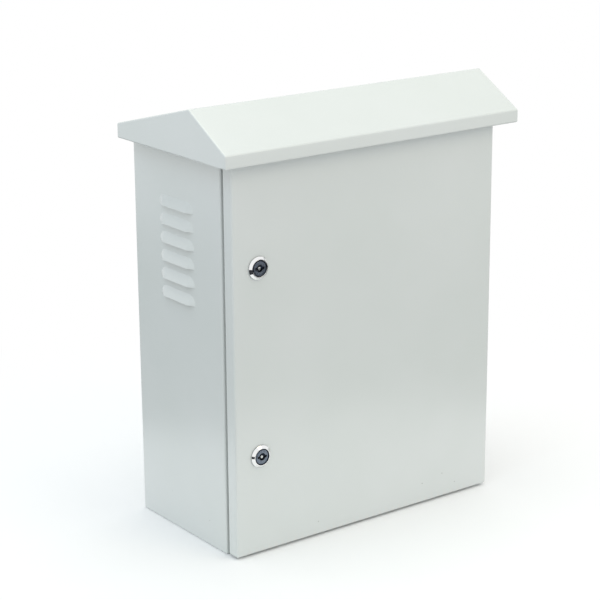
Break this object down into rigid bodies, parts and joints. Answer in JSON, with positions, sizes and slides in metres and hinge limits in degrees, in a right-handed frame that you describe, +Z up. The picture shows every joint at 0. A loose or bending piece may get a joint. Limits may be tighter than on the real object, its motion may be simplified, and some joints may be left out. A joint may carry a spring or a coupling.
{
  "type": "roadside utility cabinet",
  "caption": "Sheet-steel outdoor utility cabinet with an overhanging gabled rain roof, side louvres and a hinged door on quarter-turn locks.",
  "frame": {"origin": "middle of the overall box, roof included, on the plane of the cabinet's underside", "axes": "+Z up, +Y from the door to the back that goes against a wall, +X to the hinge side as seen from the front"},
  "size_m": [0.444, 0.231, 0.5468],
  "materials": {
    "powder_coat": "light grey powder coat, slightly rippled satin",
    "chrome_plate": "bright chromed die casting",
    "lock_steel": "turned dark steel",
    "foam_seal": "matt closed-cell foam",
    "rubber_seal": "matt moulded rubber",
    "galvanised_sheet": "galvanised, faint spangle",
    "zinc_hardware": "bright zinc plate"
  },
  "bodies": {
    "cabinet": {"body_earth_nut": "zinc_hardware", "body_earth_stud": "zinc_hardware", "body_earth_washer": "zinc_hardware", "cabinet_body": "powder_coat", "gland_plate": "galvanised_sheet", "gland_plate_nuts": "zinc_hardware", "gland_plate_seal": "rubber_seal", "gland_plate_studs": "zinc_hardware", "gland_plate_washers": "zinc_hardware", "hinge_nuts": "zinc_hardware", "hinge_screws": "zinc_hardware", "lower_hinge_frame_leaf": "zinc_hardware", "mounting_nuts": "zinc_hardware", "mounting_plate": "galvanised_sheet", "mounting_spacers": "zinc_hardware", "mounting_studs": "zinc_hardware", "mounting_washers": "zinc_hardware", "roof_bolt_nuts": "zinc_hardware", "roof_bolt_seals": "rubber_seal", "roof_bolts": "zinc_hardware", "roof_canopy": "powder_coat", "roof_rib_left": "powder_coat", "roof_rib_right": "powder_coat", "upper_hinge_frame_leaf": "zinc_hardware"},
    "door": {"door_earth_nut": "zinc_hardware", "door_earth_stud": "zinc_hardware", "door_earth_washer": "zinc_hardware", "door_gasket": "foam_seal", "door_panel": "powder_coat", "door_stiffener": "powder_coat", "lower_hinge_door_leaf": "zinc_hardware", "lower_hinge_pin": "zinc_hardware", "lower_lock_housing": "chrome_plate", "lower_lock_nut": "zinc_hardware", "lower_lock_seal": "rubber_seal", "upper_hinge_door_leaf": "zinc_hardware", "upper_hinge_pin": "zinc_hardware", "upper_lock_housing": "chrome_plate", "upper_lock_nut": "zinc_hardware", "upper_lock_seal": "rubber_seal"},
    "upper_lock_plug": {"upper_lock_cam": "zinc_hardware", "upper_lock_cam_screw": "zinc_hardware", "upper_lock_cam_washer": "zinc_hardware", "upper_lock_key_post": "lock_steel", "upper_lock_rotor": "lock_steel"},
    "lower_lock_plug": {"lower_lock_cam": "zinc_hardware", "lower_lock_cam_screw": "zinc_hardware", "lower_lock_cam_washer": "zinc_hardware", "lower_lock_key_post": "lock_steel", "lower_lock_rotor": "lock_steel"}
  },
  "joints": [
    {"name": "door_swing", "type": "hinge", "parent": "cabinet", "child": "door", "pos_m": [0.1925, -0.084, 0.244], "axis": [0, 0, 1], "range_deg": [0, 105]},
    {"name": "upper_lock_turn", "type": "hinge", "parent": "door", "child": "upper_lock_plug", "pos_m": [-0.164, -0.0945, 0.361], "axis": [0, 1, 0], "range_deg": [0, 90]},
    {"name": "lower_lock_turn", "type": "hinge", "parent": "door", "child": "lower_lock_plug", "pos_m": [-0.164, -0.0945, 0.127], "axis": [0, 1, 0], "range_deg": [0, 90]}
  ]
}
